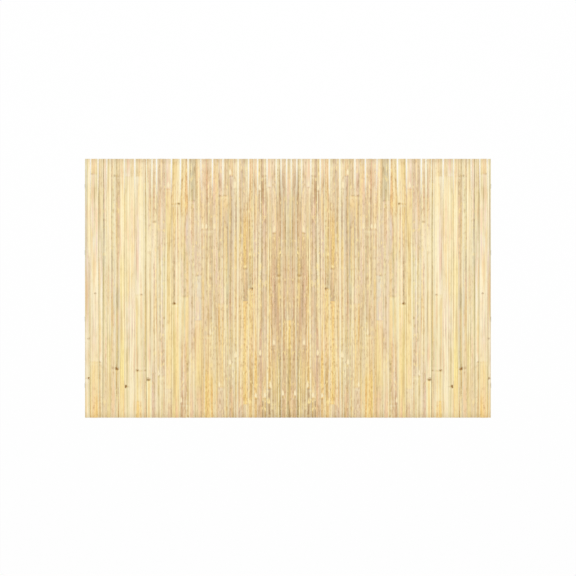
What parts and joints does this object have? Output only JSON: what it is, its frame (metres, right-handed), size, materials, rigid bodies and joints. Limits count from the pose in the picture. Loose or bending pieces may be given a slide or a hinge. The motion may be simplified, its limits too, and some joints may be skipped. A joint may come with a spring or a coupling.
{
  "type": "bamboo slat fence",
  "caption": "Bamboo slat fencing opened out flat: crowned split-bamboo slats lie edge to edge on galvanised wires threaded through them, their tops spread slightly.",
  "frame": {"origin": "centre of the mat, on the plane of the slats' planed backs, which is the floor it lies on", "axes": "+X across the slats, +Y along them towards the end whose tops spread, +Z out of the skin side"},
  "size_m": [1.5706, 1, 0.0076],
  "materials": {
    "straw_bamboo": "smooth natural skin",
    "golden_bamboo": "smooth natural skin",
    "grey_bamboo": "smooth weathered skin",
    "galvanised_wire": "dull zinc"
  },
  "bodies": {
    "root": {"slat_01": "straw_bamboo", "slat_02": "golden_bamboo", "slat_13": "straw_bamboo", "slat_14": "grey_bamboo", "slat_17": "golden_bamboo", "slat_18": "golden_bamboo", "slat_36": "golden_bamboo", "slat_37": "straw_bamboo", "slat_38": "straw_bamboo", "slat_39": "straw_bamboo", "slat_40": "golden_bamboo", "slat_58": "golden_bamboo", "slat_59": "golden_bamboo", "slat_62": "grey_bamboo", "slat_63": "straw_bamboo", "slat_74": "golden_bamboo", "slat_75": "straw_bamboo", "slats_03_04": "grey_bamboo", "slats_05_08": "grey_bamboo", "slats_09_10": "golden_bamboo", "slats_11_12": "straw_bamboo", "slats_15_16": "grey_bamboo", "slats_19_20": "straw_bamboo", "slats_21_22": "straw_bamboo", "slats_23_24": "grey_bamboo", "slats_25_27": "straw_bamboo", "slats_28_29": "golden_bamboo", "slats_30_31": "grey_bamboo", "slats_32_33": "straw_bamboo", "slats_34_35": "grey_bamboo", "slats_41_42": "grey_bamboo", "slats_43_44": "straw_bamboo", "slats_45_46": "grey_bamboo", "slats_47_48": "golden_bamboo", "slats_49_51": "straw_bamboo", "slats_52_53": "grey_bamboo", "slats_54_55": "straw_bamboo", "slats_56_57": "straw_bamboo", "slats_60_61": "grey_bamboo", "slats_64_65": "straw_bamboo", "slats_66_67": "golden_bamboo", "slats_68_71": "grey_bamboo", "slats_72_73": "grey_bamboo", "wire_bottom": "galvanised_wire", "wire_lower": "galvanised_wire", "wire_top": "galvanised_wire", "wire_upper": "galvanised_wire"}
  },
  "joints": []
}
